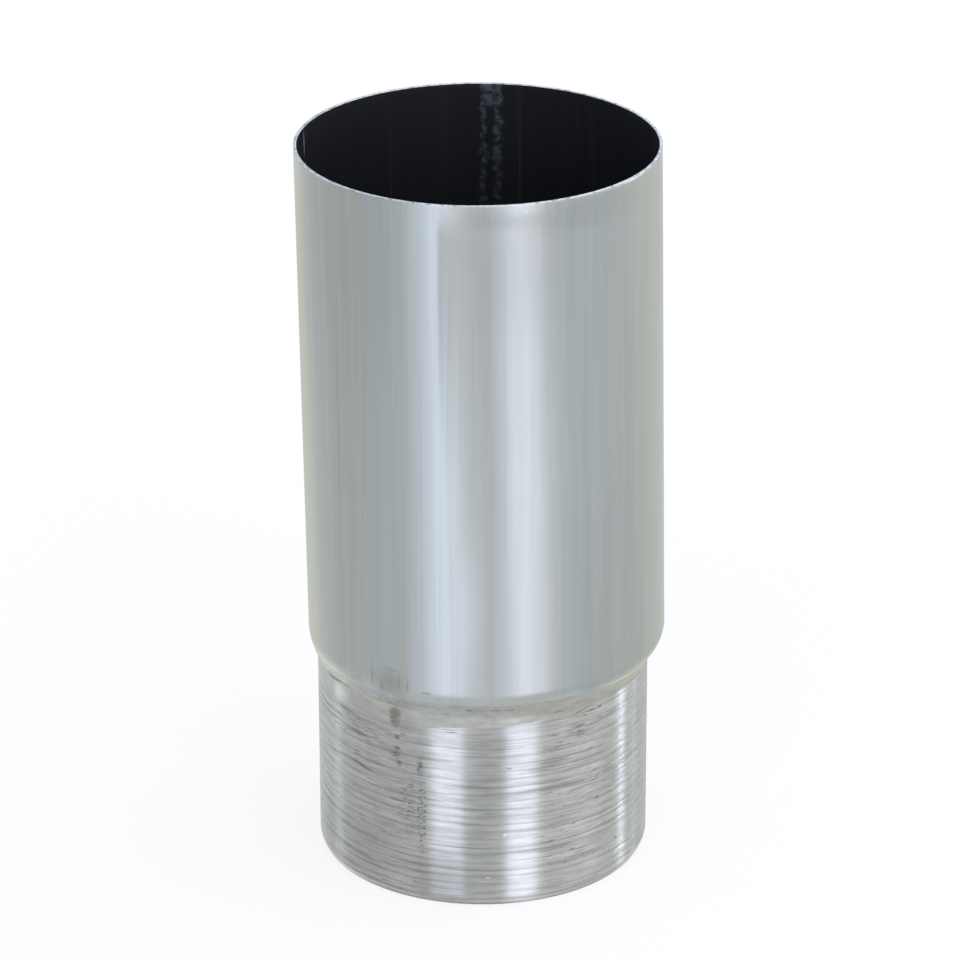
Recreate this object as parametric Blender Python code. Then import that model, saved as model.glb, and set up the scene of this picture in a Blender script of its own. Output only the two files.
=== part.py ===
# Extended socket of a round sheet-zinc rainwater pipe, in metres, +Z up.
# One lengthwise welded tube: the wide upper part is the socket that takes the next pipe, and the lower end
# is rolled down over a rounded shoulder to a spigot, which the rollers leave ringed all the way down.
# It stands on the spigot's end ring, whose centre is the origin.

import math

import bmesh
import bpy

# Driving dimensions
body_diameter = 0.0820
wall = 0.0007
overall_length = 0.1712
shoulder_step = 0.0029  # how far the spigot lies inside the body, on the radius
shoulder_radius = 0.0078  # the arc where the body turns in
shoulder_angle = math.radians(27)  # the steepest part of the shoulder, from upright
neck_radius = 0.0042  # the arc where the shoulder meets the spigot
spigot_length = 0.0468  # end ring to the foot of the shoulder
lead_in_length = 0.0030  # the spigot's end is rolled in over this height
lead_in_depth = 0.0012
neck_land = 0.0014  # plain height between the shoulder's foot and the first rolled ring
ring_pitch = 0.0020
ring_depth = 0.00012
bead_width = 0.0026  # the weld's ridge along the inside of the wall
bead_height = 0.00035
seam_angle = math.radians(87)  # the weld's place round the tube, counted from +X towards +Y
body_offset = 0.0009  # the body's axis lies this far to +X of the spigot's at the shoulder
body_lean = math.radians(0.85)  # and leans this much back to -X on its way up

# How finely round faces are cut
round_steps = 64
arc_steps = 5
bead_steps = 4
lead_in_steps = 3

# Sizes that follow from these
body_radius = body_diameter / 2
spigot_radius = body_radius - shoulder_step
slope_run = shoulder_step - (shoulder_radius + neck_radius) * (1 - math.cos(shoulder_angle))
shoulder_height = ((shoulder_radius + neck_radius) * math.sin(shoulder_angle)
                   + slope_run / math.tan(shoulder_angle))
shoulder_top = spigot_length + shoulder_height


def clear_scene():
    for old in list(bpy.data.objects):
        bpy.data.objects.remove(old, do_unlink=True)


def zinc():
    material = bpy.data.materials.new("rolled_zinc")
    material.use_nodes = True
    shader = material.node_tree.nodes["Principled BSDF"]
    shader.inputs["Base Color"].default_value = (0.60, 0.62, 0.62, 1)
    shader.inputs["Metallic"].default_value = 1.0
    shader.inputs["Roughness"].default_value = 0.32
    return material


# The shoulder as (radius, height) points, top to bottom, on the face that lies this deep in the wall.
def shoulder_line(depth):
    line = []
    for step in range(arc_steps + 1):
        turn = shoulder_angle * step / arc_steps
        reach = shoulder_radius - depth
        line.append((body_radius - shoulder_radius + reach * math.cos(turn),
                     shoulder_top - reach * math.sin(turn)))
    for step in range(arc_steps + 1):
        turn = shoulder_angle * (1 - step / arc_steps)
        reach = neck_radius + depth
        line.append((spigot_radius + neck_radius - reach * math.cos(turn),
                     spigot_length + reach * math.sin(turn)))
    return line


# The rolled-in end, top to bottom: a quarter of a cosine wave that starts upright.
def lead_in_line(depth):
    line = []
    for step in range(lead_in_steps + 1):
        part = step / lead_in_steps
        inward = lead_in_depth * (1 - math.cos(part * math.pi / 2))
        line.append((spigot_radius - depth - inward, lead_in_length * (1 - part)))
    return line


# The rolled rings, top to bottom: a groove and a crest to each pitch, as many as the spigot has room for.
def ring_line():
    room = spigot_length - neck_land - lead_in_length
    count = int(room / ring_pitch)
    top = spigot_length - neck_land
    line = [(spigot_radius, top)]
    for ring in range(count):
        line.append((spigot_radius - ring_depth, top - (ring + 0.5) * ring_pitch))
        line.append((spigot_radius, top - (ring + 1) * ring_pitch))
    if line[-1][1] - lead_in_length < ring_pitch / 4:
        line.pop()
    return line


# The whole section as one loop of (radius, height, inner) points: down the outside and back up the inside.
def section():
    outside = [(body_radius, overall_length)] + shoulder_line(0) + ring_line() + lead_in_line(0)
    inside = [(body_radius - wall, overall_length)] + shoulder_line(wall) + lead_in_line(wall)
    return [point + (False,) for point in outside] + [point + (True,) for point in reversed(inside)]


# Even steps round the tube, and finer ones over the weld, as (angle, ridge) where ridge runs 0 to 1.
def columns():
    half = bead_width / 2 / body_radius
    steps = [(2 * math.pi * step / round_steps, 0.0) for step in range(round_steps)]
    steps = [column for column in steps if abs(column[0] - seam_angle) > half * 1.05]
    for step in range(bead_steps + 1):
        across = 2 * step / bead_steps - 1
        steps.append((seam_angle + half * across, 1 - across * across))
    return sorted(steps)


# How far the tube's axis lies to +X of the spigot's at this height.
def axis_shift(height):
    if height <= spigot_length:
        return 0.0
    if height >= shoulder_top:
        return body_offset - (height - shoulder_top) * math.tan(body_lean)
    part = (height - spigot_length) / shoulder_height
    return body_offset * part * part * (3 - 2 * part)


def socket_body():
    shape = bmesh.new()
    rings = []
    for radius, height, inner in section():
        ring = []
        for angle, ridge in columns():
            reach = radius - bead_height * ridge if inner else radius
            ring.append(shape.verts.new((axis_shift(height) + reach * math.cos(angle),
                                         reach * math.sin(angle), height)))
        rings.append(ring)
    for upper, lower in zip(rings, rings[1:] + rings[:1]):
        for here, ahead in zip(range(len(upper)), list(range(1, len(upper))) + [0]):
            shape.faces.new((upper[here], lower[here], lower[ahead], upper[ahead]))
    mesh = bpy.data.meshes.new("socket_body")
    shape.to_mesh(mesh)
    shape.free()
    mesh.shade_smooth()
    mesh.set_sharp_from_angle(angle=math.radians(35))
    mesh.materials.append(zinc())
    tube = bpy.data.objects.new("socket_body", mesh)
    bpy.context.scene.collection.objects.link(tube)
    return tube


clear_scene()
socket_body()
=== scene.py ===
# Extended socket of a sheet-zinc rainwater pipe: the finished tube, its metal, the light and the camera.
# Metres, +Z up; the spigot stands on the floor at the origin and -Y is the side that faces the camera.
import math

import bpy
import numpy as np
from mathutils import Matrix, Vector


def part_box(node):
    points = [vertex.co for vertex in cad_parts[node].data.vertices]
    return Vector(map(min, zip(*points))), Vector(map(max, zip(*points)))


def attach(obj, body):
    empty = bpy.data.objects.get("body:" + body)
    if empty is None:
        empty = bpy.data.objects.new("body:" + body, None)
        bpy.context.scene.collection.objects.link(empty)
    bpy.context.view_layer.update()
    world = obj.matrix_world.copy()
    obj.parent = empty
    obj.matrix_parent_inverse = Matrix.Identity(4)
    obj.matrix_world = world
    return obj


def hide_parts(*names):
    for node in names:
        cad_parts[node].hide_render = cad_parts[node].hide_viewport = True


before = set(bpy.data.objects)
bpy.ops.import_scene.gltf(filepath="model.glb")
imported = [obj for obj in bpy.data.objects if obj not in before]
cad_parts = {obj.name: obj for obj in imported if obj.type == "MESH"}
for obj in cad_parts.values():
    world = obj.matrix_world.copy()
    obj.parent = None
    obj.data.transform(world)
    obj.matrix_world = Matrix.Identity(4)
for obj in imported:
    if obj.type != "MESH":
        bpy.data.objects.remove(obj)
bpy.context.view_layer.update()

nodeLow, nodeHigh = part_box("socket_body")
scene = bpy.context.scene
print("frame loaded: tube", [round(v * 1000, 1) for v in (nodeHigh - nodeLow)], "mm")


# The tube's surface. Angles are counted from the camera's side, positive towards +X.

tube = {
    "bodyRadius": (nodeHigh.y - nodeLow.y) / 2,
    "length": nodeHigh.z,
    "wall": 0.0007,
    "step": 0.0029,            # the spigot lies this far inside the body
    "shoulderRadius": 0.0078,
    "neckRadius": 0.0042,
    "shoulderAngle": math.radians(27),
    "spigotLength": 0.0468,
    "leadInLength": 0.0030,
    "leadInDepth": 0.0012,
    "edgeRound": 0.00012,      # the cut edges are broken by this much
    "bodyOffset": 0.0009,      # the body stands this far to +X of the spigot at the shoulder
    "bodyLean": math.radians(0.85),
}

rings = {
    "pitch": 0.0019,
    "depth": 0.00010,
    "sharpness": 2.4,          # higher makes the grooves narrower and the lands wider
    "wander": 0.24,            # how far a groove strays from its even place, in pitches
    "fineDepth": 0.000022,     # shallow tool lines between the grooves
    "top": 0.0455,             # the rings begin at this height, which is higher to the right
    "tilt": 0.0020,
    "ragged": 0.00022,         # and wanders by this much
    "fade": 0.0006,
    "polishTop": 0.0484,       # at the left the spigot's finish goes on up to here, over the rings
    "polishNone": -0.50,       # between these two angles it climbs, and past the third it comes down again
    "polishFull": -0.92,
    "polishBack": -1.7,
}

forming = {
    "broad": 0.000030,         # lengthwise flats left by the bending rolls
    "narrow": 0.0000040,
    "creaseTop": math.radians(-12.5),
    "creaseFoot": math.radians(-15.0),
    "creaseDepth": 0.00003,
    "creaseHalf": 0.00032,
    "pressSlope": 0.17,        # to the right of the crease the mouth is pressed in: steeply at first
    "pressReach": 0.0022,
    "flatSlope": 0.06,         # then more and more gently, and made up again further round
    "flatWidth": 0.0090,
    "recoverFrom": 0.026,
    "recoverTo": 0.060,
    "pressFoot": 0.088,
    "pressFull": 0.156,
    "flare": 0.85,             # from here up to the rim this share of the flat is made up again
    "flareFoot": 0.1625,
    "lipDepth": 0.00012,       # just under the rim the wall lies this much deeper, and less so further down
    "lipHeight": 0.0010,
    "lipFade": 0.0065,
}

shoulderMark = {
    "height": 0.0500,          # the roller's edge left a small step here
    "leftDrop": 0.0011,        # at the left it lies this much lower
    "leftFull": 0.45,          # and is right down where the sine of the angle is past this
    "rightRise": 0.0024,
    "depth": 0.00006,
    "width": 0.00035,
}

weld = {
    "angle": math.radians(177),
    "width": 0.0026,
    "height": 0.00035,
    "ragged": 0.35,
    "scarfDepth": 0.000015,    # outside, the bead is scraped flush and leaves a shallow flat
    "scarfWidth": 0.0032,
}

fineness = {
    "around": 168,
    "overWeld": 22,
    "overCrease": 14,
    "mouthRows": 14,
    "bodyRows": 18,
    "arcRows": 20,
    "spigotRows": 262,
    "leadInRows": 18,
    "weldRows": 44,
    "insideRows": 8,
    "insideArcRows": 8,
    "edgeRows": 4,
}


def fadeBetween(low, high, value):
    # Smooth step: 0 below low, 1 above high, with no corner at either.
    part = np.clip((value - low) / (high - low), 0, 1)
    return part * part * (3 - 2 * part)


def roundEdge(cornerRadius, cornerHeight, towardRadius, towardHeight, size, rows):
    # A quarter circle in place of a corner, from the side wall to the flat end: the corner plus size times
    # 1 - cos towards the wall's middle and 1 - sin away from the end.
    turn = np.linspace(0, math.pi / 2, rows)
    return np.stack([cornerRadius + towardRadius * size * (1 - np.cos(turn)),
                     cornerHeight + towardHeight * size * (1 - np.sin(turn))], 1)


def shoulderCurve(depth, rows):
    # Two arcs joined by a straight slope: down and inward round the body's arc, back upright round the neck's.
    # Depth is how deep in the wall the line runs, so the outer arc shrinks by it and the inner one grows.
    body, spigot = tube["bodyRadius"], tube["bodyRadius"] - tube["step"]
    steep = tube["shoulderAngle"]
    both = tube["shoulderRadius"] + tube["neckRadius"]
    slope = tube["step"] - both * (1 - math.cos(steep))
    top = tube["spigotLength"] + both * math.sin(steep) + slope / math.tan(steep)
    turn = np.linspace(0, steep, rows)
    outer = tube["shoulderRadius"] - depth
    upper = np.stack([body - tube["shoulderRadius"] + outer * np.cos(turn), top - outer * np.sin(turn)], 1)
    inner = tube["neckRadius"] + depth
    back = turn[::-1]
    lower = np.stack([spigot + tube["neckRadius"] - inner * np.cos(back),
                      tube["spigotLength"] + inner * np.sin(back)], 1)
    return upper, lower, top


def leadInCurve(depth, rows):
    # The rolled-in end: radius falls by a quarter of a cosine wave while the height falls evenly to zero.
    part = np.linspace(0, 1, rows)
    radius = tube["bodyRadius"] - tube["step"] - depth - tube["leadInDepth"] * (1 - np.cos(part * math.pi / 2))
    return np.stack([radius, tube["leadInLength"] * (1 - part)], 1)


def straight(first, last, rows):
    # Evenly spaced points between two given ones, both left out.
    part = np.linspace(0, 1, rows + 2)[1:-1, None]
    return np.asarray(first) * (1 - part) + np.asarray(last) * part


def wallProfile():
    # The section as one closed line of (radius, height), down the outside and up the inside, with a label for
    # each row that says which finish it carries.
    upper, lower, top = shoulderCurve(0, fineness["arcRows"])
    upperIn, lowerIn, _ = shoulderCurve(tube["wall"], fineness["insideArcRows"])
    lead, leadIn = leadInCurve(0, fineness["leadInRows"]), leadInCurve(tube["wall"], fineness["edgeRows"])
    size, length = tube["edgeRound"], tube["length"]
    mouthOut = roundEdge(tube["bodyRadius"], length, -1, -1, size, fineness["edgeRows"])[::-1]
    mouthIn = roundEdge(tube["bodyRadius"] - tube["wall"], length, 1, -1, size, fineness["edgeRows"])
    endOut = roundEdge(lead[-1, 0], 0, -1, 1, size, fineness["edgeRows"])
    endIn = roundEdge(leadIn[-1, 0], 0, 1, 1, size, fineness["edgeRows"])[::-1]
    nearMouth = (tube["bodyRadius"], length - 0.012)
    nearMouthIn = (tube["bodyRadius"] - tube["wall"], length - 0.040)
    parts = [
        ("edge", mouthOut),
        ("body", straight(mouthOut[-1], nearMouth, fineness["mouthRows"])),
        ("body", straight(nearMouth, upper[0], fineness["bodyRows"])),
        ("body", upper),
        ("neck", straight(upper[-1], lower[0], 4)),
        ("neck", lower),
        ("spigot", straight(lower[-1], lead[0], fineness["spigotRows"])),
        ("spigot", lead[:-1]),
        ("edge", endOut),
        ("edge", endIn),
        ("inside", leadIn[:-1][::-1]),
        ("inside", straight(leadIn[0], lowerIn[-1], fineness["insideRows"])),
        ("inside", lowerIn[::-1]),
        ("inside", upperIn[::-1]),
        ("inside", straight(upperIn[0], nearMouthIn, fineness["insideRows"])),
        ("inside", straight(nearMouthIn, mouthIn[0], fineness["weldRows"])),
        ("edge", mouthIn),
    ]
    points = np.concatenate([line for _, line in parts])
    finish = np.concatenate([np.full(len(line), name) for name, line in parts])
    return points, finish, top


def ringAngles():
    # Even steps round the tube, with closer ones across the weld at the back and the crease in front.
    even = np.linspace(-math.pi, math.pi, fineness["around"], endpoint=False)
    half = weld["scarfWidth"] * 0.6 / tube["bodyRadius"]
    creases = (forming["creaseFoot"] - 0.012, forming["creaseTop"] + 0.022)
    for low, high, count in ((weld["angle"] - half, weld["angle"] + half, fineness["overWeld"]),
                             (*creases, fineness["overCrease"])):
        even = even[(even < low - 0.008) | (even > high + 0.008)]
        even = np.concatenate([even, np.linspace(low, high, count)])
    return np.sort(even)


def waves(angle, height, seed, count, roundRange, upRange):
    # A seeded sum of sines: each runs a whole number of times round the tube and some way along it, so the
    # field closes on itself at the back. Its values stay within about -1 and 1.
    rng = np.random.default_rng(seed)
    field = 0
    for _ in range(count):
        times = rng.integers(*roundRange, endpoint=True)
        along = rng.uniform(*upRange) * rng.choice((-1, 1))
        field = field + np.sin(times * angle + along * height + rng.uniform(0, 2 * math.pi))
    return field / math.sqrt(count) / 1.6


def ringGrooves(angle, height):
    # How deep in a groove each point lies, 0 to 1: a left-hand helix of one groove a pitch. The groove is a
    # raised cosine to a power, its place wanders and its depth varies along its length and down the spigot.
    turn = height / rings["pitch"] + angle / (2 * math.pi)
    turn = turn + rings["wander"] * waves(angle, height, 5, 9, (0, 3), (300, 2300))
    groove = (0.5 + 0.5 * np.cos(2 * math.pi * turn)) ** rings["sharpness"]
    strength = 0.66 + 0.42 * waves(angle, height, 11, 14, (0, 6), (200, 1700))
    facing = np.exp(-(angle / 0.9) ** 2)
    strength = strength * (1 - 0.65 * facing * fadeBetween(0.034, 0.043, height))
    return np.clip(strength, 0.12, 1) * groove


def ringLine(angle):
    # The height where the rings begin: a level tilted by the sine of the angle, plus a seeded sum of sines.
    wander = waves(angle, 0 * angle, 6, 10, (3, 24), (0, 1))
    return rings["top"] + rings["tilt"] * np.sin(angle) + rings["ragged"] * wander


def polishLine(angle):
    # How high the spigot's finish reaches: the ring line, and over a stretch at the left a level above it, with
    # a smooth step up to it in front and a long one down again at the back.
    over = 1 - fadeBetween(rings["polishFull"], rings["polishNone"], angle)
    over = over * fadeBetween(-math.pi, rings["polishBack"], angle)
    line = ringLine(angle)
    return line + (rings["polishTop"] - line) * over


def ringReach(angle, height):
    # How much of the rings there is: 1 along the spigot, with a smooth step to 0 just under the ring line.
    top = ringLine(angle)
    return 1 - fadeBetween(top - rings["fade"], top, height)


def formingDents(angle, height, top):
    # What the bending rolls left in the body, always inward: broad and narrow lengthwise waves, a fine crease
    # as a bell curve, the pressed flat beside it at the mouth, and a shallow hollow under the rim. The flat's
    # depth is the integral of a slope that falls off as an exponential plus one that falls off evenly.
    span = fadeBetween(top - 0.004, top + 0.006, height)
    broad = forming["broad"] * (0.5 + 0.5 * waves(angle, height, 21, 10, (5, 12), (1, 9)))
    narrow = forming["narrow"] * (0.5 + 0.5 * waves(angle, height, 22, 16, (13, 26), (1, 7)))
    upward = np.clip((height - top) / (tube["length"] - top), 0, 1)
    line = forming["creaseFoot"] + (forming["creaseTop"] - forming["creaseFoot"]) * upward
    beside = (angle - line) * tube["bodyRadius"]
    crease = forming["creaseDepth"] * (0.5 + 0.5 * upward) * np.exp(-(beside / forming["creaseHalf"]) ** 2)
    right = np.clip(beside, 0, None)
    flat = forming["pressSlope"] * forming["pressReach"] * (1 - np.exp(-right / forming["pressReach"]))
    within = np.minimum(right, forming["flatWidth"])
    flat = flat + forming["flatSlope"] * (within - within ** 2 / (2 * forming["flatWidth"]))
    flat = flat * (1 - fadeBetween(forming["recoverFrom"], forming["recoverTo"], right))
    flat = flat * fadeBetween(forming["pressFoot"], forming["pressFull"], height)
    flat = flat * (1 - forming["flare"] * fadeBetween(forming["flareFoot"], tube["length"], height))
    under = tube["length"] - height
    lip = (1 - np.exp(-under / forming["lipHeight"])) * np.exp(-under / forming["lipFade"])
    lip = forming["lipDepth"] * lip * (0.12 + 0.88 * np.exp(-((angle - 0.13) / 0.26) ** 2))
    return span * (broad + narrow + crease + flat + lip)


def shoulderStep(angle, height):
    # The roller's edge: a small smooth step inward below a line, made up again by the foot of the neck. The
    # line falls by a smooth step of the angle's sine at the left and rises with the sine at the right.
    side = np.sin(angle)
    line = shoulderMark["height"] - shoulderMark["leftDrop"] * fadeBetween(0, shoulderMark["leftFull"], -side)
    line = line + shoulderMark["rightRise"] * np.clip(side, 0, None)
    below = 1 - fadeBetween(line - shoulderMark["width"], line, height)
    return shoulderMark["depth"] * below * fadeBetween(line - 0.0040, line - 0.0006, height)


def weldRidge(angle, height):
    # The weld inside the wall: a parabola across its width, with a ragged crest along its length.
    across = (angle - weld["angle"]) * tube["bodyRadius"] / (weld["width"] / 2)
    crest = 1 + weld["ragged"] * waves(across * 0.8, height, 31, 12, (0, 2), (500, 3200))
    return weld["height"] * np.clip(1 - across * across, 0, 1) * np.clip(crest, 0.3, 1)


def scarf(angle):
    # Outside, the scraped weld is a shallow flat with soft sides.
    across = np.abs(angle - weld["angle"]) * tube["bodyRadius"] / (weld["scarfWidth"] / 2)
    return weld["scarfDepth"] * (1 - fadeBetween(0.7, 1.1, across))


def axisShift(height, top):
    # How far the tube's axis lies to +X: nothing along the spigot, a smooth step over the shoulder, then a
    # straight lean back.
    over = fadeBetween(tube["spigotLength"], top, height) * tube["bodyOffset"]
    return over - np.clip(height - top, 0, None) * math.tan(tube["bodyLean"])


def buildTube(materials):
    # Radius and height come from the section, row by row, and the angle from the columns; the grooves, dents
    # and weld are taken off the radius, and the axis shift is added to x.
    points, finish, top = wallProfile()
    angles = ringAngles()
    height, angle = np.meshgrid(points[:, 1], angles, indexing="ij")
    radius = np.broadcast_to(points[:, :1], height.shape).copy()
    label = np.broadcast_to(finish[:, None], height.shape)
    outside = (label == "spigot") | (label == "neck") | (label == "body")
    reach = ringReach(angle, height)
    groove = np.where(outside, ringGrooves(angle, height) * reach, 0)
    radius -= rings["depth"] * groove * fadeBetween(0, tube["leadInLength"], height)
    fine = 0.5 + 0.5 * waves(angle, height, 12, 30, (0, 5), (4200, 14000))
    radius -= np.where(outside, rings["fineDepth"] * fine * reach, 0)
    radius -= formingDents(angle, height, top)
    radius -= np.where(outside, shoulderStep(angle, height) + scarf(angle), 0)
    radius -= np.where(label == "inside", weldRidge(angle, height), 0)
    place = np.stack([axisShift(height, top) + radius * np.sin(angle), -radius * np.cos(angle), height], 2)
    rows, columns = height.shape
    upper = np.arange(rows)[:, None] * columns
    lower = np.roll(np.arange(rows), -1)[:, None] * columns
    here = np.arange(columns)[None, :]
    ahead = np.roll(np.arange(columns), -1)[None, :]
    faces = np.stack([upper + here, lower + here, lower + ahead, upper + ahead], 2).reshape(-1, 4)
    mesh = bpy.data.meshes.new("tubeShell")
    mesh.from_pydata(place.reshape(-1, 3), [], faces)
    names = list(materials)
    for name in names:
        mesh.materials.append(materials[name])
    slots = np.array([names.index(name) for name in finish])
    nextRow = np.roll(slots, -1)
    edge, neck, spigot = names.index("edge"), names.index("neck"), names.index("spigot")
    rowSlots = np.where((slots == edge) & (nextRow == edge), edge, np.where(nextRow == edge, slots, nextRow))
    faceSlots = np.repeat(rowSlots[:, None], columns, 1)
    lower = (faceSlots == spigot) | (faceSlots == neck)
    faceSlots = np.where(lower, np.where(height > polishLine(angle), neck, spigot), faceSlots)
    mesh.polygons.foreach_set("material_index", faceSlots.reshape(-1).astype(np.int32))
    layer = mesh.attributes.new("groove", "FLOAT", "POINT")
    layer.data.foreach_set("value", groove.reshape(-1).astype(np.float32))
    mesh.shade_smooth()
    mesh.validate()
    shell = bpy.data.objects.new("tubeShell", mesh)
    scene.collection.objects.link(shell)
    print("tube built:", len(faces) * 2, "triangles,", rows, "rows,", columns, "columns")
    return shell


# Node groups that the finishes share

def newGroup(name, inputs, outputs):
    group = bpy.data.node_groups.new(name, "ShaderNodeTree")
    for label, kind, value in inputs:
        socket = group.interface.new_socket(label, in_out="INPUT", socket_type=kind)
        if value is not None:
            socket.default_value = value
    for label, kind in outputs:
        group.interface.new_socket(label, in_out="OUTPUT", socket_type=kind)
    return group, group.nodes.new("NodeGroupInput"), group.nodes.new("NodeGroupOutput")


def fill(tree, socket, value):
    # A plain number or colour is set on the socket, and anything else is linked to it.
    if isinstance(value, (int, float)):
        socket.default_value = value
    elif isinstance(value, tuple):
        socket.default_value = (*value, 1)
    elif value is not None:
        tree.links.new(value, socket)


def maths(tree, operation, first, second=None, third=None):
    node = tree.nodes.new("ShaderNodeMath")
    node.operation = operation
    for socket, value in zip(node.inputs, (first, second, third)):
        fill(tree, socket, value)
    return node.outputs[0]


def remap(tree, value, low, high, toLow=0.0, toHigh=1.0, smooth=True):
    node = tree.nodes.new("ShaderNodeMapRange")
    node.interpolation_type = "SMOOTHSTEP" if smooth else "LINEAR"
    for label, number in (("Value", value), ("From Min", low), ("From Max", high), ("To Min", toLow),
                          ("To Max", toHigh)):
        fill(tree, node.inputs[label], number)
    return node.outputs["Result"]


def blend(tree, mask, first, second):
    node = tree.nodes.new("ShaderNodeMix")
    node.data_type = "RGBA"
    fill(tree, node.inputs["Factor"], mask)
    sockets = [socket for socket in node.inputs if socket.type == "RGBA"]
    fill(tree, sockets[0], first)
    fill(tree, sockets[1], second)
    return [socket for socket in node.outputs if socket.type == "RGBA"][0]


def scaleColour(tree, colour, factor):
    node = tree.nodes.new("ShaderNodeVectorMath")
    node.operation = "SCALE"
    tree.links.new(colour, node.inputs[0])
    tree.links.new(factor, node.inputs["Scale"])
    return node.outputs[0]


def makeStretchedGrain():
    # Noise drawn out in one direction: the place is scaled by Round across the tube and by Up along it.
    # Tilt leans the pattern, as a part of the distance to the side.
    group, inside, out = newGroup("stretchedGrain", [
        ("Position", "NodeSocketVector", None), ("Round", "NodeSocketFloat", 500.0),
        ("Up", "NodeSocketFloat", 5.0), ("Tilt", "NodeSocketFloat", 0.0),
        ("Detail", "NodeSocketFloat", 3.0), ("Seed", "NodeSocketFloat", 0.0)],
        [("Value", "NodeSocketFloat")])
    split = group.nodes.new("ShaderNodeSeparateXYZ")
    group.links.new(inside.outputs["Position"], split.inputs[0])
    lifted = maths(group, "MULTIPLY_ADD", split.outputs["X"], inside.outputs["Tilt"], split.outputs["Z"])
    place = group.nodes.new("ShaderNodeCombineXYZ")
    for index, (part, scale) in enumerate(((split.outputs["X"], "Round"), (split.outputs["Y"], "Round"),
                                           (lifted, "Up"))):
        group.links.new(maths(group, "MULTIPLY", part, inside.outputs[scale]), place.inputs[index])
    noise = group.nodes.new("ShaderNodeTexNoise")
    noise.noise_dimensions = "4D"
    noise.inputs["Scale"].default_value = 1.0
    group.links.new(place.outputs[0], noise.inputs["Vector"])
    group.links.new(inside.outputs["Seed"], noise.inputs["W"])
    group.links.new(inside.outputs["Detail"], noise.inputs["Detail"])
    group.links.new(noise.outputs["Fac"], out.inputs["Value"])
    return group


def makeTubePlace():
    # Where a point lies on the tube: its angle from the camera's side in degrees, and its height in millimetres.
    group, inside, out = newGroup("tubePlace", [("Position", "NodeSocketVector", None)],
                                  [("Angle", "NodeSocketFloat"), ("Height", "NodeSocketFloat")])
    split = group.nodes.new("ShaderNodeSeparateXYZ")
    group.links.new(inside.outputs["Position"], split.inputs[0])
    angle = maths(group, "ARCTAN2", split.outputs["X"], maths(group, "MULTIPLY", split.outputs["Y"], -1.0))
    group.links.new(maths(group, "DEGREES", angle), out.inputs["Angle"])
    group.links.new(maths(group, "MULTIPLY", split.outputs["Z"], 1000.0), out.inputs["Height"])
    return group


def makeMark():
    # One mark: 1 at its centre and 0 outside an ellipse of the two half sizes. Slant lifts it per degree, Lean
    # turns it per millimetre, Soft sets how wide its rim is, and Broken is how much of it is left to a grain.
    group, inside, out = newGroup("mark", [
        ("Angle", "NodeSocketFloat", 0.0), ("Height", "NodeSocketFloat", 0.0), ("Grain", "NodeSocketFloat", 0.5),
        ("At Angle", "NodeSocketFloat", 0.0), ("At Height", "NodeSocketFloat", 0.0),
        ("Half Angle", "NodeSocketFloat", 1.0), ("Half Height", "NodeSocketFloat", 1.0),
        ("Slant", "NodeSocketFloat", 0.0), ("Lean", "NodeSocketFloat", 0.0),
        ("Soft", "NodeSocketFloat", 0.5), ("Broken", "NodeSocketFloat", 0.0)],
        [("Mask", "NodeSocketFloat")])
    pick = inside.outputs
    side = maths(group, "SUBTRACT", pick["Angle"], pick["At Angle"])
    rise = maths(group, "SUBTRACT", pick["Height"], pick["At Height"])
    across = maths(group, "SUBTRACT", side, maths(group, "MULTIPLY", rise, pick["Lean"]))
    up = maths(group, "SUBTRACT", rise, maths(group, "MULTIPLY", side, pick["Slant"]))
    across = maths(group, "DIVIDE", across, pick["Half Angle"])
    up = maths(group, "DIVIDE", up, pick["Half Height"])
    far = maths(group, "SQRT", maths(group, "ADD", maths(group, "MULTIPLY", across, across),
                                     maths(group, "MULTIPLY", up, up)))
    start = maths(group, "SUBTRACT", 1.0, pick["Soft"])
    whole = remap(group, far, start, 1.0, 1.0, 0.0)
    gone = maths(group, "MULTIPLY", remap(group, pick["Grain"], 0.48, 0.62, 1.0, 0.0), pick["Broken"])
    left = maths(group, "SUBTRACT", 1.0, gone)
    group.links.new(maths(group, "MULTIPLY", whole, left), out.inputs["Mask"])
    return group


groups = {"grain": makeStretchedGrain(), "place": makeTubePlace(), "mark": makeMark()}
print("node groups made")


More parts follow.
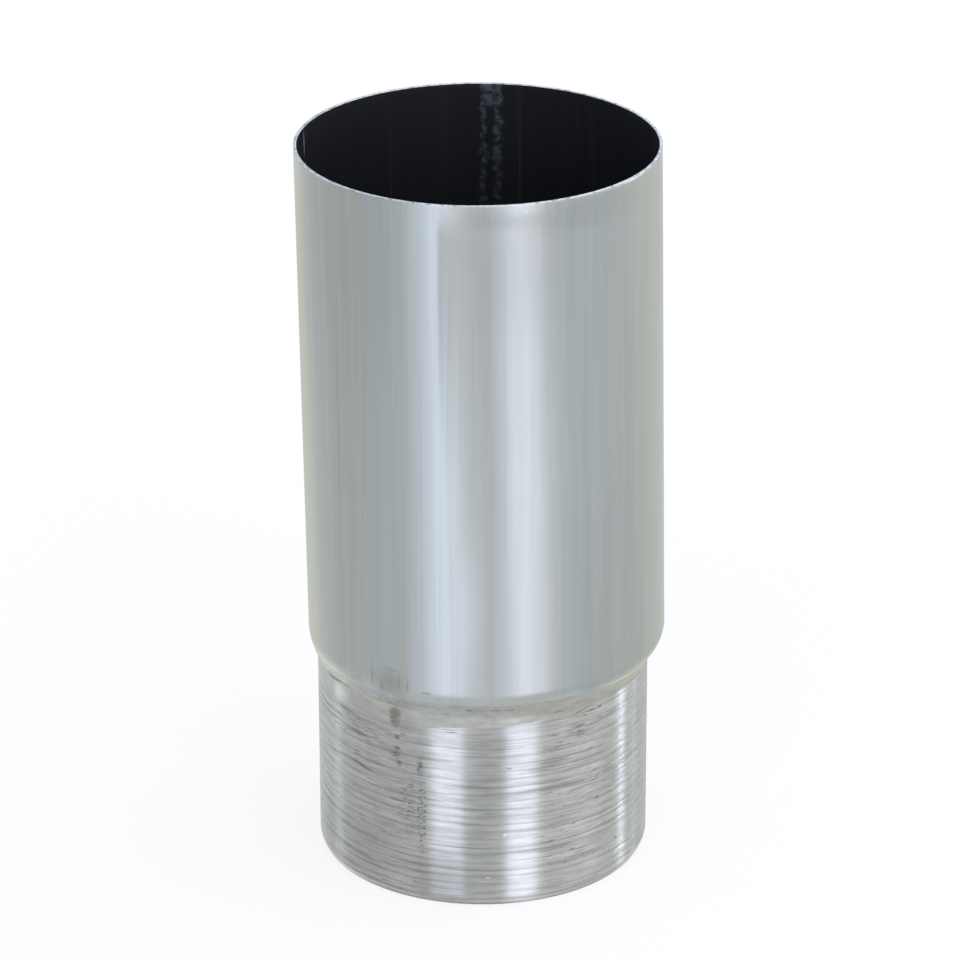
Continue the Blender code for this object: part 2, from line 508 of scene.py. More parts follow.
class Finish:
    # One material under way: its tree, its shader, and where each point lies on the tube.
    def __init__(self, name, look):
        self.material = bpy.data.materials.new(name)
        self.material.use_nodes = True
        self.tree = self.material.node_tree
        self.shader = self.tree.nodes["Principled BSDF"]
        self.shader.inputs["Metallic"].default_value = look.get("metallic", 1.0)
        self.shader.inputs["Roughness"].default_value = look["roughness"]
        self.shader.inputs["Specular IOR Level"].default_value = look.get("specular", 0.5)
        self.shader.inputs["Anisotropic"].default_value = look.get("anisotropy", 0.0)
        self.shader.inputs["Anisotropic Rotation"].default_value = look.get("turn", 0.0)
        if look.get("anisotropy"):
            tangent = self.tree.nodes.new("ShaderNodeTangent")
            tangent.direction_type = "RADIAL"
            tangent.axis = "Z"
            self.tree.links.new(tangent.outputs[0], self.shader.inputs["Tangent"])
        self.position = self.tree.nodes.new("ShaderNodeTexCoord").outputs["Object"]
        place = self.put("place", Position=self.position)
        self.angle, self.height = place.outputs["Angle"], place.outputs["Height"]

    def put(self, group, **values):
        node = self.tree.nodes.new("ShaderNodeGroup")
        node.node_tree = groups[group]
        for label, value in values.items():
            fill(self.tree, node.inputs[label.replace("_", " ")], value)
        return node

    def grain(self, across, along, detail=3.0, seed=0.0, tilt=0.0):
        return self.put("grain", Position=self.position, Round=float(across), Up=float(along), Detail=detail,
                        Seed=seed, Tilt=tilt).outputs["Value"]

    def marks(self, grain, places):
        # The strongest of a list of marks, each given as angle, height, half sizes and how it lies and breaks.
        total = 0.0
        for angle, height, halfAngle, halfHeight, slant, lean, soft, broken, amount in places:
            mask = self.put("mark", Angle=self.angle, Height=self.height, Grain=grain, At_Angle=angle,
                            At_Height=height, Half_Angle=halfAngle, Half_Height=halfHeight, Slant=slant,
                            Lean=lean, Soft=soft, Broken=broken).outputs["Mask"]
            total = maths(self.tree, "MAXIMUM", total, maths(self.tree, "MULTIPLY", mask, amount))
        return total

    def link(self, value, label):
        self.tree.links.new(value, self.shader.inputs[label])

    def bump(self, height, distance):
        node = self.tree.nodes.new("ShaderNodeBump")
        node.inputs["Strength"].default_value = 1.0
        node.inputs["Distance"].default_value = distance
        self.tree.links.new(height, node.inputs["Height"])
        self.link(node.outputs["Normal"], "Normal")


# Marks are angle and height of the middle, half width in degrees, half height in millimetres, slant, lean,
# softness, brokenness and strength.

bodyFinish = {
    "warm": (0.411, 0.439, 0.430),
    "cool": (0.397, 0.441, 0.459),
    "shade": 0.052,            # how far the drawn streaks go to the dark and the bright side
    "topShade": 0.955,         # painted shade: towards the mouth the colour is this much darker
    "stainAndShade": (0.16, 0.16, 0.15),
    "roughness": 0.33,
    "anisotropy": 0.25,
    "scratchesAndShade": [
        (-51.3, 112.0, 0.26, 66.0, 0.0, 0.022, 0.9, 0.2, 0.52),
        (-39.8, 110.0, 0.22, 60.0, 0.0, 0.036, 0.9, 0.6, 0.26),
        (-10.6, 130.0, 0.22, 40.0, 0.0, 0.029, 0.9, 0.5, 0.34),
        (-19.0, 110.0, 0.30, 60.0, 0.0, 0.010, 0.9, 0.7, 0.20),
        (13.5, 100.0, 0.16, 44.0, 0.0, 0.004, 0.9, 0.7, 0.18),
        (27.0, 100.0, 0.18, 48.0, 0.0, 0.004, 0.9, 0.7, 0.18),
        # painted shade: these two darken the highlight in the pressed mouth and under the rim
        (7.0, 167.3, 20.0, 4.2, 0.0, 0.0, 1.0, 0.0, 0.24),
        (12.0, 156.0, 17.0, 24.0, 0.0, 0.0, 1.0, 0.0, 0.13),
    ],
    "tint": (0.320, 0.378, 0.425),
    "tints": [
        (37.1, 52.8, 5.0, 1.9, 0.02, 0.0, 0.6, 0.2, 0.85),
    ],
    "frostAndHighlight": (0.560, 0.590, 0.620),
    "frostsAndHighlights": [                # painted highlights: a brighter stretch low in front, a bright edge in the shoulder, and at the rim a scuffed patch that is partly painted highlight
        (-3.5, 76.0, 7.0, 24.0, 0.0, 0.0, 1.0, 0.0, 0.32),
        (48.0, 51.95, 8.0, 0.30, 0.0, 0.0, 0.7, 0.0, 0.8),
        (13.0, 170.6, 8.5, 3.2, 0.0, 0.0, 0.9, 0.5, 0.55),
        (0.0, 171.2, 30.0, 0.9, 0.0, 0.0, 1.0, 0.7, 0.55),
    ],
    "spots": [
        (-66.2, 85.4, 1.3, 1.3, 0.0, 0.0, 1.0, 0.8, 0.6),
        (-56.9, 88.4, 1.2, 0.6, 0.0, 0.0, 1.0, 0.6, 0.4),
        (-70.1, 67.6, 1.2, 1.3, 0.0, 0.0, 1.0, 0.8, 0.5),
        (-18.1, 54.3, 2.5, 0.32, -0.04, 0.0, 0.8, 0.2, 0.75),
        (-38.0, 55.6, 1.0, 3.8, 0.0, 0.0, 1.0, 0.1, 0.38),
        (-30.5, 58.4, 5.2, 0.9, -0.02, 0.0, 1.0, 0.3, 0.38),
        (-34.2, 53.6, 1.6, 3.4, 0.0, 0.1, 1.0, 0.1, 0.54),
        (-31.0, 54.2, 9.0, 6.6, 0.0, 0.0, 1.0, 0.2, 0.42),
        (-30.6, 55.6, 2.0, 2.6, 0.0, 0.5, 1.0, 0.2, 0.48),
        (-27.8, 55.4, 1.4, 3.6, 0.0, 0.1, 1.0, 0.1, 0.46),
        (-24.5, 55.2, 1.0, 3.0, 0.0, 0.0, 1.0, 0.1, 0.42),
        (-29.5, 51.6, 8.0, 2.6, 0.0, 0.0, 1.0, 0.3, 0.44),
        (-46.0, 52.0, 8.0, 2.8, 0.0, 0.0, 1.0, 0.0, 0.16),
        (-44.1, 53.9, 2.6, 0.5, -0.1, 0.0, 1.0, 0.3, 0.40),
        (-27.0, 52.2, 9.0, 0.7, 0.02, 0.0, 1.0, 0.8, 0.30),
    ],
}

neckFinish = {
    "warm": (0.427, 0.431, 0.402),
    "cool": (0.37, 0.40, 0.41),
    "dirtAndShade": (0.080, 0.079, 0.075),
    "roughness": 0.38,
    "matt": 0.62,              # the roughness of the plain band under the shoulder
    "anisotropy": 0.3,
    "lineHalf": 0.38,          # the dark line in the roller's step, in millimetres
    "lineLeft": 1.00,          # and at the far left
    # dirt spots, and broad soft painted shade at the left, low in front and to the right
    "spots": [
        (-29.0, 50.2, 9.0, 2.2, 0.0, 0.0, 1.0, 0.3, 0.36),
        (-33.0, 49.5, 9.0, 0.8, 0.01, 0.0, 1.0, 0.9, 0.70),
        (-46.0, 49.9, 7.0, 1.5, 0.02, 0.0, 1.0, 0.0, 0.14),
        (-28.0, 45.0, 7.0, 1.8, 0.0, 0.0, 1.0, 0.0, 0.14),
        (-4.5, 50.35, 1.6, 0.5, 0.0, 0.0, 0.9, 0.3, 0.8),
        (3.0, 50.3, 9.0, 0.40, 0.0, 0.0, 0.9, 0.8, 0.8),
        (9.5, 50.3, 1.3, 0.45, 0.0, 0.0, 0.9, 0.3, 0.8),
        (0.5, 48.6, 3.0, 0.24, 0.0, 0.0, 0.9, 0.4, 0.55),
        (-12.5, 48.7, 2.4, 0.24, 0.0, 0.0, 0.9, 0.2, 0.7),
        (-21.0, 50.3, 10.0, 0.5, 0.0, 0.0, 1.0, 0.8, 0.45),
        (-31.2, 46.6, 3.2, 2.0, 0.0, 0.0, 0.7, 0.35, 0.82),
        (-31.4, 44.5, 2.9, 2.4, 0.0, 0.0, 0.7, 0.5, 0.82),
        (-62.0, 48.35, 9.0, 0.75, 0.055, 0.0, 0.8, 0.1, 0.95),
        (-50.8, 48.6, 1.0, 0.7, 0.0, 0.0, 0.9, 0.2, 0.8),
        (34.0, 48.9, 4.5, 0.24, 0.02, 0.0, 0.8, 0.3, 0.6),
        (26.5, 47.6, 3.0, 0.24, 0.02, 0.0, 0.8, 0.3, 0.7),
        (60.0, 50.1, 9.0, 1.2, 0.0, 0.0, 1.0, 0.0, 0.20),
    ],
    "paintedHighlight": (0.80, 0.79, 0.75),
    "paintedHighlights": [                # painted highlights: bright thin edges in the shoulder, to the right, and brighter patches
        (53.0, 51.55, 11.0, 0.34, -0.03, 0.0, 0.7, 0.0, 0.55),
        (57.0, 49.9, 9.0, 0.16, 0.0, 0.0, 0.7, 0.3, 0.5),
        (57.0, 46.8, 5.0, 2.2, 0.0, 0.0, 0.9, 0.2, 0.28),
        (13.0, 46.8, 9.0, 1.4, 0.0, 0.0, 1.0, 0.2, 0.22),
    ],
}

spigotFinish = {
    "land": (0.520, 0.532, 0.535),
    "groove": (0.318, 0.326, 0.308),
    "dark": (0.112, 0.114, 0.106),
    "fleckAndHighlight": (0.85, 0.85, 0.86),
    "roughness": 0.34,
    "anisotropy": 1.0,
    "turn": 0.25,
    # soft painted shade over the highlights, the gap between them and the lower left, and columns of dark specks
    # at the left
    "smudgesAndShade": [
        (-62.0, 48.35, 9.0, 0.75, 0.055, 0.0, 0.8, 0.1, 0.95),
        (-31.2, 46.6, 3.2, 2.0, 0.0, 0.0, 0.7, 0.35, 0.82),
        (-31.4, 44.5, 2.9, 2.4, 0.0, 0.0, 0.7, 0.5, 0.82),
        (13.0, 45.4, 9.0, 3.4, 0.0, 0.0, 1.0, 0.0, 0.15),
        (0.5, 30.0, 7.0, 26.0, 0.0, 0.0, 1.0, 0.0, 0.12),
        (-13.0, 4.0, 16.0, 19.0, 0.0, 0.0, 1.0, 0.0, 0.50),
        (-45.0, 10.0, 22.0, 18.0, 0.0, 0.0, 1.0, 0.0, 0.18),
        (-66.0, 8.0, 13.0, 16.0, 0.0, 0.0, 1.0, 0.0, 0.26),
        (-28.0, 44.0, 7.0, 2.6, 0.0, 0.0, 1.0, 0.0, 0.16),
        (-30.6, 40.6, 1.7, 1.0, 0.0, 0.0, 0.9, 0.2, 0.85),
        (-30.6, 37.9, 1.8, 0.8, 0.0, 0.0, 0.9, 0.2, 0.85),
        (-31.0, 36.2, 3.6, 1.8, 0.0, 0.0, 0.9, 0.8, 0.90),
        (-29.9, 34.3, 1.8, 1.3, 0.0, 0.0, 0.9, 0.4, 0.8),
        (-21.9, 34.3, 2.1, 2.9, 0.0, 0.0, 0.9, 0.7, 0.90),
        (-21.4, 22.0, 2.4, 13.0, 0.0, 0.0, 0.5, 1.0, 0.80),
        (-27.0, 24.0, 6.0, 12.0, 0.0, 0.0, 1.0, 1.0, 0.75),
    ],
    "streaks": [
        (-54.6, 42.6, 10.0, 0.36, 0.0, 0.0, 0.8, 0.2, 0.80),
        (-48.0, 38.2, 9.5, 0.42, 0.0, 0.0, 0.8, 0.2, 0.80),
        (-48.6, 41.0, 5.0, 1.5, 0.0, 0.0, 0.9, 0.8, 0.75),
        (-47.2, 30.4, 9.5, 0.42, -0.10, 0.0, 0.8, 0.2, 0.85),
        (-63.5, 29.8, 9.5, 0.34, 0.05, 0.0, 0.8, 0.2, 0.70),
        (-44.0, 39.0, 12.0, 4.5, 0.0, 0.0, 0.8, 1.0, 0.60),
        (-19.5, 44.7, 7.0, 0.26, 0.0, 0.0, 0.8, 0.3, 0.55),
        (-10.5, 44.0, 3.4, 0.28, 0.0, 0.0, 0.8, 0.2, 0.70),
        (32.0, 40.8, 13.0, 0.32, 0.0, 0.0, 0.8, 0.3, 0.55),
        (36.0, 41.5, 12.0, 4.5, 0.0, 0.0, 0.9, 1.0, 0.6),
        (38.0, 45.2, 9.0, 2.2, 0.02, 0.0, 0.9, 1.0, 0.7),
        (25.0, 35.3, 10.0, 0.34, 0.0, 0.0, 0.8, 0.4, 0.7),
        (36.5, 46.4, 7.5, 0.26, 0.09, 0.0, 0.8, 0.3, 0.8),
        (50.0, 27.0, 20.0, 9.0, 0.0, 0.0, 1.0, 1.0, 0.35),
        (-40.0, 18.0, 20.0, 9.0, 0.0, 0.0, 1.0, 1.0, 0.35),
    ],
    "specks": [
        (44.2, 45.6, 1.5, 0.35, 0.0, 0.0, 0.8, 0.0, 0.8),
        (44.2, 42.9, 1.2, 0.28, 0.0, 0.0, 0.8, 0.0, 0.7),
        (43.1, 22.8, 1.4, 0.35, 0.05, 0.0, 0.8, 0.0, 0.9),
        (52.8, 10.1, 1.6, 0.5, 0.04, 0.0, 0.9, 0.2, 0.85),
        (32.2, 11.8, 1.4, 0.32, 0.0, 0.0, 0.8, 0.2, 0.8),
        (29.4, 9.0, 1.3, 0.30, 0.04, 0.0, 0.8, 0.2, 0.7),
        (35.2, 39.5, 2.6, 0.45, 0.03, 0.0, 0.9, 0.7, 0.6),
        (42.5, 28.1, 2.6, 0.26, 0.40, 0.0, 0.8, 0.0, 0.75),
        (49.5, 29.9, 4.6, 0.26, 0.08, 0.0, 0.8, 0.3, 0.6),
        (59.3, 48.4, 0.6, 0.5, 0.0, 0.0, 0.8, 0.0, 0.9),
        (-12.0, 44.6, 4.5, 0.20, 0.0, 0.0, 0.8, 0.3, 0.7),
        (9.0, 35.0, 1.6, 0.30, 0.0, 0.0, 0.8, 0.3, 0.7),
    ],
    "flecksAndHighlights": [                # bright nicks, and painted highlights: a brighter patch on the left strip and one low in front
        (-57.5, 46.0, 8.0, 2.8, 0.0, 0.0, 1.0, 0.0, 0.46),
        (13.0, 8.0, 11.0, 13.0, 0.0, 0.0, 1.0, 0.0, 0.14),
        (7.5, 18.3, 1.0, 0.40, 0.1, 0.0, 0.8, 0.2, 0.9),
        (1.7, 7.5, 1.1, 0.40, -0.1, 0.0, 0.8, 0.3, 0.7),
        (45.5, 28.6, 1.6, 0.25, 0.2, 0.0, 0.8, 0.3, 0.4),
    ],
}

insideFinish = {
    # near-black: a dark inner coat, made darker still as painted shade deep inside the tube
    "colour": (0.0062, 0.0072, 0.0105),
    "streak": (0.013, 0.0145, 0.020),
    "weld": (0.058, 0.068, 0.085),
    "glint": (0.50, 0.51, 0.53),
    "metallic": 0.0,
    "specular": 0.25,
    "roughness": 0.55,
    "lines": [
        (-149.0, 150.0, 0.40, 30.0, 0.0, 0.012, 0.9, 0.8, 0.05),
        (167.4, 150.0, 0.50, 30.0, 0.0, 0.0, 0.9, 0.9, 0.025),
        (111.6, 150.0, 0.35, 30.0, 0.0, 0.0, 0.9, 0.9, 0.02),
        # painted highlight: a bright glint down the inside at the far left, under the rim
        (-104.3, 167.5, 0.45, 4.0, 0.0, 0.0, 0.8, 0.2, 0.9),
        (-104.5, 159.5, 0.45, 4.2, 0.0, 0.0, 0.8, 0.2, 0.9),
    ],
}

edgeFinish = {
    "colour": (0.69, 0.68, 0.67),
    "dark": (0.32, 0.315, 0.31),
    "roughness": 0.34,
}


def bodyZinc():
    look = bodyFinish
    made = Finish("bodyZinc", look)
    tree = made.tree
    hair = made.grain(3600, 34, 2.0, 1.0)
    fine = made.grain(1500, 18, 3.0, 2.0)
    middle = made.grain(420, 8, 3.0, 3.0)
    hue = made.grain(190, 2.5, 2.0, 4.0)
    speckle = made.grain(2200, 1500, 2.0, 5.0)
    colour = blend(tree, remap(tree, hue, 0.38, 0.62), look["warm"], look["cool"])
    drawn = maths(tree, "ADD", maths(tree, "MULTIPLY", hair, 0.16), maths(tree, "MULTIPLY", fine, 0.42))
    drawn = maths(tree, "MULTIPLY_ADD", middle, 0.42, drawn)
    shade = remap(tree, drawn, 0.38, 0.62, 1 - look["shade"], 1 + look["shade"], False)
    # painted shade: the colour darkens towards the mouth
    shade = maths(tree, "MULTIPLY", shade, remap(tree, made.height, 105.0, 165.0, 1.0, look["topShade"]))
    colour = scaleColour(tree, colour, shade)
    colour = blend(tree, made.marks(speckle, look["tints"]), colour, look["tint"])
    # painted highlights, and a scuffed patch at the rim
    colour = blend(tree, made.marks(speckle, look["frostsAndHighlights"]), colour, look["frostAndHighlight"])
    # stains from scratches and spots, and painted shade in the mouth
    stainAndShade = maths(tree, "MAXIMUM", made.marks(fine, look["scratchesAndShade"]), made.marks(speckle, look["spots"]))
    colour = blend(tree, stainAndShade, colour, look["stainAndShade"])
    made.link(colour, "Base Color")
    made.link(remap(tree, hue, 0.3, 0.7, look["roughness"] - 0.02, look["roughness"] + 0.02), "Roughness")
    made.bump(maths(tree, "MULTIPLY_ADD", fine, 0.35, middle), 0.000016)
    return made.material


def neckZinc():
    look = neckFinish
    made = Finish("neckZinc", look)
    tree = made.tree
    lines = made.grain(70, 2600, 3.0, 6.0, 0.012)
    speckle = made.grain(900, 1500, 3.0, 7.0)
    cloud = made.grain(300, 500, 3.0, 6.5)
    side = maths(tree, "SINE", maths(tree, "RADIANS", made.angle))
    line = remap(tree, side, -shoulderMark["leftFull"], 0.0, -shoulderMark["leftDrop"] * 1000, 0.0)
    right = maths(tree, "MAXIMUM", side, 0.0)
    line = maths(tree, "MULTIPLY_ADD", right, shoulderMark["rightRise"] * 1000, line)
    over = maths(tree, "SUBTRACT", maths(tree, "SUBTRACT", made.height, shoulderMark["height"] * 1000), line)
    wavy = maths(tree, "ADD", over, remap(tree, speckle, 0.3, 0.7, -0.2, 0.2, False))
    colour = blend(tree, remap(tree, lines, 0.35, 0.7, 0.0, 0.35), look["warm"], look["cool"])
    colour = blend(tree, remap(tree, wavy, 0.35, 0.75), colour, look["cool"])
    colour = scaleColour(tree, colour, remap(tree, cloud, 0.35, 0.65, 0.90, 1.06))
    thick = remap(tree, made.angle, -58.0, -49.0, look["lineLeft"], look["lineHalf"])
    seam = remap(tree, maths(tree, "ABSOLUTE", maths(tree, "ADD", over, 0.05)), 0.0, thick, 1.0, 0.0)
    leftSide = remap(tree, made.angle, -58.0, -48.0, 0.95, 0.45)
    leftSide = maths(tree, "MULTIPLY", leftSide, remap(tree, made.angle, -32.0, -10.0, 1.0, 0.0))
    leftSide = maths(tree, "MULTIPLY", leftSide, remap(tree, made.angle, -125.0, -85.0))
    seam = maths(tree, "MULTIPLY", seam, maths(tree, "MULTIPLY", leftSide, remap(tree, speckle, 0.35, 0.6, 0.6)))
    # the dark line, dirt spots and some painted shade
    dirtAndShade = maths(tree, "MAXIMUM", seam, made.marks(speckle, look["spots"]))
    # painted highlights on the shoulder and the neck
    colour = blend(tree, made.marks(speckle, look["paintedHighlights"]), colour, look["paintedHighlight"])
    colour = blend(tree, dirtAndShade, colour, look["dirtAndShade"])
    made.link(colour, "Base Color")
    band = maths(tree, "ADD", made.height, remap(tree, cloud, 0.3, 0.7, -0.5, 0.5, False))
    made.link(remap(tree, band, 46.6, 48.4, look["matt"], look["roughness"]), "Roughness")
    made.bump(maths(tree, "MULTIPLY_ADD", cloud, 0.6, lines), 0.00003)
    return made.material


def spigotZinc():
    look = spigotFinish
    made = Finish("spigotZinc", look)
    tree = made.tree
    groove = tree.nodes.new("ShaderNodeAttribute")
    groove.attribute_name = "groove"
    groove = groove.outputs["Fac"]
    top = maths(tree, "SINE", maths(tree, "RADIANS", made.angle))
    top = maths(tree, "MULTIPLY_ADD", top, rings["tilt"] * 1000, rings["top"] * 1000)
    under = maths(tree, "SUBTRACT", made.height, top)
    ringed = remap(tree, under, -3.0, 0.3, 1.0, 0.45)
    tool = made.grain(75, 1300, 3.0, 8.0, 0.012)
    hair = made.grain(130, 2400, 3.0, 9.0, 0.012)
    cloud = made.grain(160, 420, 3.0, 10.0)
    crumb = made.grain(1100, 3000, 3.0, 11.0)
    short = made.grain(300, 3200, 2.0, 12.0, 0.012)
    long = made.grain(70, 3400, 2.0, 12.5, 0.012)
    lines = remap(tree, maths(tree, "ADD", tool, hair), 0.7, 1.3, -0.55, 0.55, False)
    depth = maths(tree, "MULTIPLY_ADD", groove, 0.72, maths(tree, "MULTIPLY", lines, ringed))
    depth = maths(tree, "MULTIPLY", depth, remap(tree, made.angle, 52.0, 68.0, 1.0, 0.5))
    colour = blend(tree, remap(tree, depth, -0.1, 0.9, smooth=False), look["land"], look["groove"])
    colour = scaleColour(tree, colour, remap(tree, cloud, 0.36, 0.64, 0.93, 1.05))
    sides = remap(tree, maths(tree, "ABSOLUTE", made.angle), 14.0, 26.0, 0.25, 0.85)
    sides = maths(tree, "MULTIPLY", sides, remap(tree, made.angle, 20.0, 50.0, 1.0, 0.7))
    worn = remap(tree, cloud, 0.44, 0.62, 0.18, 1.0)
    shortDash = maths(tree, "MULTIPLY", remap(tree, short, 0.575, 0.64), 0.80)
    longDash = maths(tree, "MULTIPLY", remap(tree, long, 0.57, 0.64), 0.62)
    dashes = maths(tree, "MULTIPLY", maths(tree, "MAXIMUM", shortDash, longDash), sides)
    dashes = maths(tree, "MULTIPLY", dashes, maths(tree, "MULTIPLY", worn, ringed))
    # dark marks, and the painted shade of the soft smudges
    dark = maths(tree, "MAXIMUM", dashes, made.marks(crumb, look["smudgesAndShade"]))
    dark = maths(tree, "MAXIMUM", dark, made.marks(short, look["streaks"]))
    dark = maths(tree, "MAXIMUM", dark, made.marks(crumb, look["specks"]))
    colour = blend(tree, dark, colour, look["dark"])
    # painted shade: the last millimetre above the floor goes far to dark, for the floor's shadow at the foot
    colour = blend(tree, remap(tree, made.height, 0.0, 1.0, 0.55, 0.0), colour, look["dark"])
    # bright nicks and painted highlights
    colour = blend(tree, made.marks(crumb, look["flecksAndHighlights"]), colour, look["fleckAndHighlight"])
    made.link(colour, "Base Color")
    made.bump(maths(tree, "MULTIPLY_ADD", hair, 0.6, tool), 0.00003)
    return made.material


def insideZinc():
    look = insideFinish
    made = Finish("insideZinc", look)
    tree = made.tree
    streaks = made.grain(500, 14, 3.0, 13.0)
    ripple = made.grain(900, 900, 3.0, 14.0)
    bands = made.grain(600, 1300, 3.0, 14.5)
    patches = made.grain(200, 330, 2.0, 16.0)
    colour = blend(tree, remap(tree, streaks, 0.45, 0.8, 0.0, 0.6), look["colour"], look["streak"])
    at = math.degrees(weld["angle"])
    off = maths(tree, "ABSOLUTE", maths(tree, "SUBTRACT", made.angle, at))
    off = maths(tree, "MINIMUM", off, maths(tree, "SUBTRACT", 360.0, off))
    off = maths(tree, "ADD", off, remap(tree, ripple, 0.3, 0.7, -0.8, 0.8, False))
    off = maths(tree, "ADD", off, remap(tree, patches, 0.3, 0.7, -1.3, 1.3, False))
    sides = maths(tree, "MULTIPLY", remap(tree, off, 0.7, 1.8), remap(tree, off, 2.6, 3.9, 1.0, 0.0))
    solid = maths(tree, "MULTIPLY", remap(tree, made.height, 165.0, 167.0), remap(tree, off, 1.8, 3.6, 1.0, 0.0))
    seam = maths(tree, "MAXIMUM", sides, solid)
    seam = maths(tree, "MULTIPLY", seam, remap(tree, bands, 0.34, 0.62, 0.1, 1.0))
    seam = maths(tree, "MULTIPLY", seam, remap(tree, made.height, 128.0, 168.0, 0.25, 1.0, False))
    colour = blend(tree, seam, colour, look["weld"])
    colour = blend(tree, made.marks(streaks, look["lines"]), colour, look["glint"])
    made.link(colour, "Base Color")
    made.bump(maths(tree, "ADD", streaks, ripple), 0.00004)
    return made.material


def cutEdge():
    look = edgeFinish
    made = Finish("cutEdge", look)
    tree = made.tree
    nicks = made.grain(1100, 1100, 4.0, 15.0)
    colour = blend(tree, remap(tree, nicks, 0.46, 0.64), look["colour"], look["dark"])
    made.link(colour, "Base Color")
    made.bump(nicks, 0.00010)
    return made.material


finishes = {"edge": cutEdge(), "body": bodyZinc(), "neck": neckZinc(), "spigot": spigotZinc(),
            "inside": insideZinc()}
print("finishes made")

shell = buildTube(finishes)
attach(shell, "root")
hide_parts("socket_body")


# The room: a white floor, a soft white surround that is warmer behind, and tall lamps round the tube. Azimuths
# are degrees from the camera's side, positive towards +X.

room = {
    "floorSize": 6.0,
    "floorColour": (0.93, 0.93, 0.93),
    "shadow": 0.2,             # how much of its shading the floor shows the camera
    "belt": [                  # the surround from a little below the horizon upwards, by azimuth
        (-180, (0.70, 0.69, 0.62)),
        (-150, (0.98, 0.97, 0.86)),
        (-131, (0.92, 0.91, 0.83)),
        (-122, (0.77, 0.77, 0.74)),
        (-104, (0.75, 0.75, 0.73)),
        (-60, (0.745, 0.745, 0.72)),
        (-10, (0.76, 0.76, 0.75)),
        (10, (0.75, 0.75, 0.75)),
        (50, (0.83, 0.81, 0.79)),
        (98, (0.88, 0.865, 0.84)),
        (116, (0.84, 0.84, 0.81)),
        (134, (0.96, 0.95, 0.87)),
        (152, (0.95, 0.93, 0.83)),
        (180, (0.70, 0.69, 0.62)),
    ],
    "lift": 1.20,              # lower down the belt gets this much brighter in front and to the left
    "drop": 0.94,              # and this much darker to the right
    "crescent": 1.22,          # the shoulder's left edge sees this much more behind and below
    "above": (0.82, 0.84, 0.90),
    "aboveRight": (1.50, 1.52, 1.56),
    "aboveBack": (0.60, 0.70, 0.86),
    "backDip": 0.26,           # behind, the part above starts this much lower
    "below": (1.00, 0.99, 0.97),
}

lamps = {
    "frontLeft": {"azimuth": -24.5, "spread": 22, "low": -1.0, "high": 1.9, "strength": 1.28,
                  "colour": (0.92, 0.93, 1.11)},
    "frontRight": {"azimuth": 26.5, "spread": 21, "low": -1.0, "high": 1.9, "strength": 1.42,
                   "colour": (0.92, 0.93, 1.11)},
    "right": {"azimuth": 67, "spread": 30, "low": -0.15, "high": 0.36, "strength": 0.62,
              "colour": (1.0, 0.98, 0.94)},
    "sideRight": {"azimuth": 104.5, "spread": 4, "low": -0.15, "high": 0.36, "strength": 9.6,
                  "colour": (0.93, 0.97, 1.10)},
    "edgeRight": {"azimuth": 120, "spread": 3, "low": -0.15, "high": 0.36, "strength": 2.9,
                  "colour": (0.88, 0.98, 1.18)},
    "sideLeft": {"azimuth": -112, "spread": 8, "low": -0.15, "high": 0.36, "strength": 1.55,
                 "colour": (0.90, 0.98, 1.13)},
    "backRight": {"azimuth": 140, "spread": 18, "low": 0.45, "high": 1.9, "strength": 0.6,
                  "colour": (0.95, 0.98, 1.0)},
    "backLeft": {"azimuth": -153, "spread": 22, "low": -0.30, "high": 1.9, "strength": 0.25,
                 "colour": (0.95, 0.98, 1.0)},
    "rear": {"azimuth": 172, "spread": 20, "low": -0.30, "high": 1.9, "strength": 0.5,
             "colour": (0.95, 0.98, 1.0)},
}
lampDistance = 1.3


def makeFloor():
    half = room["floorSize"] / 2
    mesh = bpy.data.meshes.new("floor")
    mesh.from_pydata([(-half, -half, 0), (half, -half, 0), (half, half, 0), (-half, half, 0)], [], [(0, 1, 2, 3)])
    floor = bpy.data.objects.new("floor", mesh)
    scene.collection.objects.link(floor)
    material = bpy.data.materials.new("paleFloor")
    material.use_nodes = True
    tree = material.node_tree
    shader = tree.nodes["Principled BSDF"]
    shader.inputs["Base Color"].default_value = (*room["floorColour"], 1)
    shader.inputs["Roughness"].default_value = 0.9
    shader.inputs["Specular IOR Level"].default_value = 0.0
    white = tree.nodes.new("ShaderNodeEmission")
    path = tree.nodes.new("ShaderNodeLightPath")
    share = maths(tree, "MULTIPLY", path.outputs["Is Camera Ray"], 1 - room["shadow"])
    mixed = tree.nodes.new("ShaderNodeMixShader")
    tree.links.new(share, mixed.inputs[0])
    tree.links.new(shader.outputs[0], mixed.inputs[1])
    tree.links.new(white.outputs[0], mixed.inputs[2])
    tree.links.new(mixed.outputs[0], tree.nodes["Material Output"].inputs["Surface"])
    mesh.materials.append(material)
    floor.visible_glossy = False
    floor.visible_shadow = False
    return floor


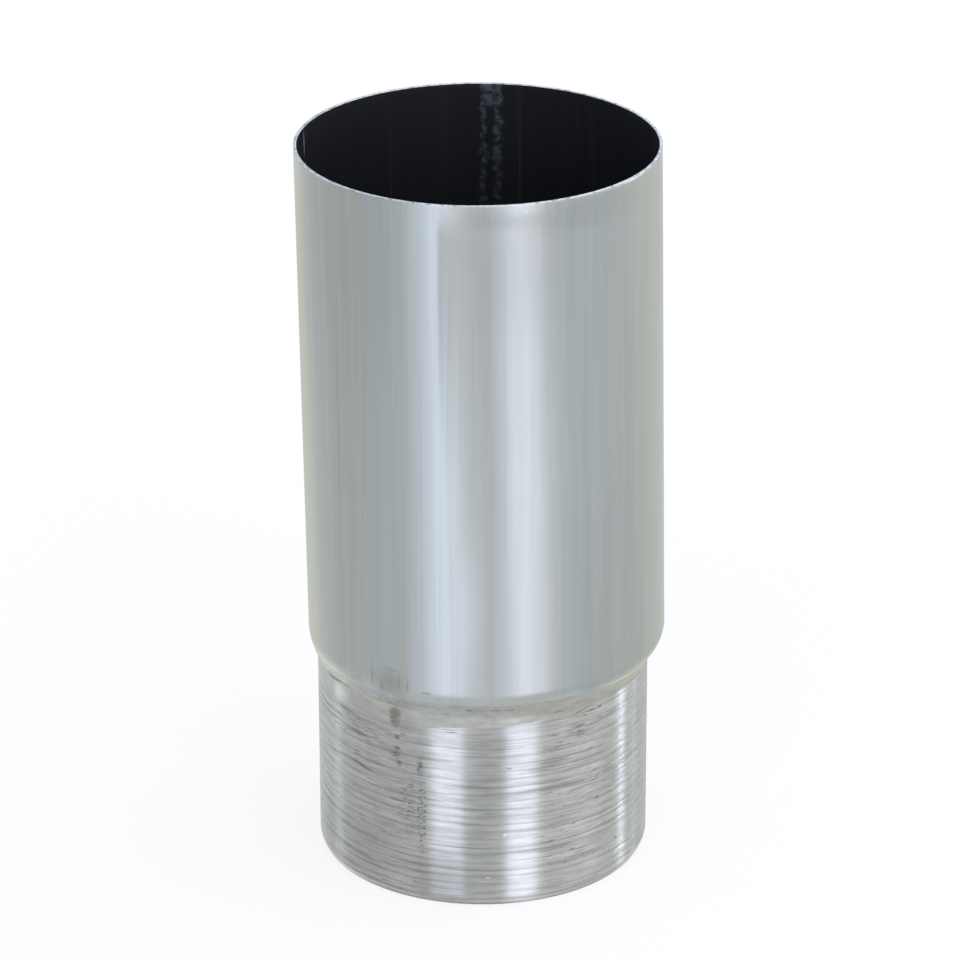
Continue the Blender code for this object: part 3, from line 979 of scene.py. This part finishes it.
def makeSurround():
    world = bpy.data.worlds.new("surround")
    scene.world = world
    world.use_nodes = True
    tree = world.node_tree
    background = tree.nodes["Background"]
    split = tree.nodes.new("ShaderNodeSeparateXYZ")
    tree.links.new(tree.nodes.new("ShaderNodeTexCoord").outputs["Generated"], split.inputs[0])
    azimuth = maths(tree, "ARCTAN2", split.outputs["X"], maths(tree, "MULTIPLY", split.outputs["Y"], -1.0))
    belt = tree.nodes.new("ShaderNodeValToRGB")
    belt.color_ramp.interpolation = "EASE"
    tree.links.new(maths(tree, "MULTIPLY_ADD", azimuth, 0.5 / math.pi, 0.5), belt.inputs[0])
    stops = belt.color_ramp.elements
    while len(stops) < len(room["belt"]):
        stops.new(0.5)
    for stop, (at, colour) in zip(stops, room["belt"]):
        stop.position = at / 360 + 0.5
        stop.color = (*colour, 1)
    right = remap(tree, split.outputs["X"], 0.0, 0.75)
    above = blend(tree, right, room["above"], room["aboveRight"])
    back = remap(tree, split.outputs["Y"], 0.30, 0.60)
    above = blend(tree, back, above, room["aboveBack"])
    lift = remap(tree, split.outputs["Z"], -0.52, -0.34, room["lift"], 1.0, False)
    drop = remap(tree, split.outputs["Z"], -0.52, -0.34, room["drop"], 1.0, False)
    colour = scaleColour(tree, belt.outputs[0], remap(tree, split.outputs["X"], 0.1, 0.6, lift, drop))
    low = maths(tree, "MULTIPLY", remap(tree, split.outputs["Z"], -0.60, -0.46, 1.0, 0.0), back)
    low = maths(tree, "MULTIPLY", low, remap(tree, split.outputs["X"], -0.1, 0.1, 1.0, 0.0))
    colour = scaleColour(tree, colour, remap(tree, low, 0.0, 1.0, 1.0, room["crescent"], False))
    dipped = maths(tree, "MULTIPLY_ADD", back, room["backDip"], split.outputs["Z"])
    colour = blend(tree, remap(tree, dipped, 0.0, 0.25), colour, above)
    colour = blend(tree, remap(tree, split.outputs["Z"], -0.86, -0.72, 1.0, 0.0), colour, room["below"])
    path = tree.nodes.new("ShaderNodeLightPath")
    colour = blend(tree, path.outputs["Is Camera Ray"], colour, (1.0, 1.0, 1.0))
    tree.links.new(colour, background.inputs["Color"])
    background.inputs["Strength"].default_value = 1.0


def makeLamp(name, azimuth, spread, low, high, strength, colour):
    # A tall panel that stands round the tube at the given azimuth and faces its axis. Strength is its
    # brightness against a white of 1, which for a flat lamp is its power over pi times its area.
    turn = math.radians(azimuth)
    width = 2 * lampDistance * math.tan(math.radians(spread) / 2)
    data = bpy.data.lights.new(name, "AREA")
    data.shape = "RECTANGLE"
    data.size = width
    data.size_y = high - low
    data.energy = strength * math.pi * width * (high - low)
    data.color = colour
    lamp = bpy.data.objects.new(name, data)
    lamp.location = (lampDistance * math.sin(turn), -lampDistance * math.cos(turn), (low + high) / 2)
    lamp.rotation_euler = (math.pi / 2, 0, turn)
    lamp.visible_camera = False
    scene.collection.objects.link(lamp)


makeFloor()
makeSurround()
for name, lamp in lamps.items():
    makeLamp(name, **lamp)
print("floor, surround and", len(lamps), "lamps placed")


# The camera stands as the photographer did, looking a little down on the tube.

view = {
    "back": 1.0768,
    "height": 0.55489,
    "turn": math.radians(0.028),
    "tilt": math.radians(-23.367),
    "roll": math.radians(0.133),
    "lens": 192.97,
    "sensor": 36.0,
}


def makeCamera():
    data = bpy.data.cameras.new("camera")
    data.lens = view["lens"]
    data.sensor_width = view["sensor"]
    data.clip_start = 0.05
    camera = bpy.data.objects.new("camera", data)
    camera.location = (0, -view["back"], view["height"])
    level = Matrix.Rotation(math.pi / 2, 3, "X")
    aim = Matrix.Rotation(view["turn"], 3, "Z") @ Matrix.Rotation(view["tilt"], 3, "X")
    aim = aim @ Matrix.Rotation(view["roll"], 3, "Y")
    camera.rotation_euler = (aim @ level).to_euler()
    scene.collection.objects.link(camera)
    scene.camera = camera


makeCamera()
scene.view_settings.view_transform = "Standard"
print("camera placed")
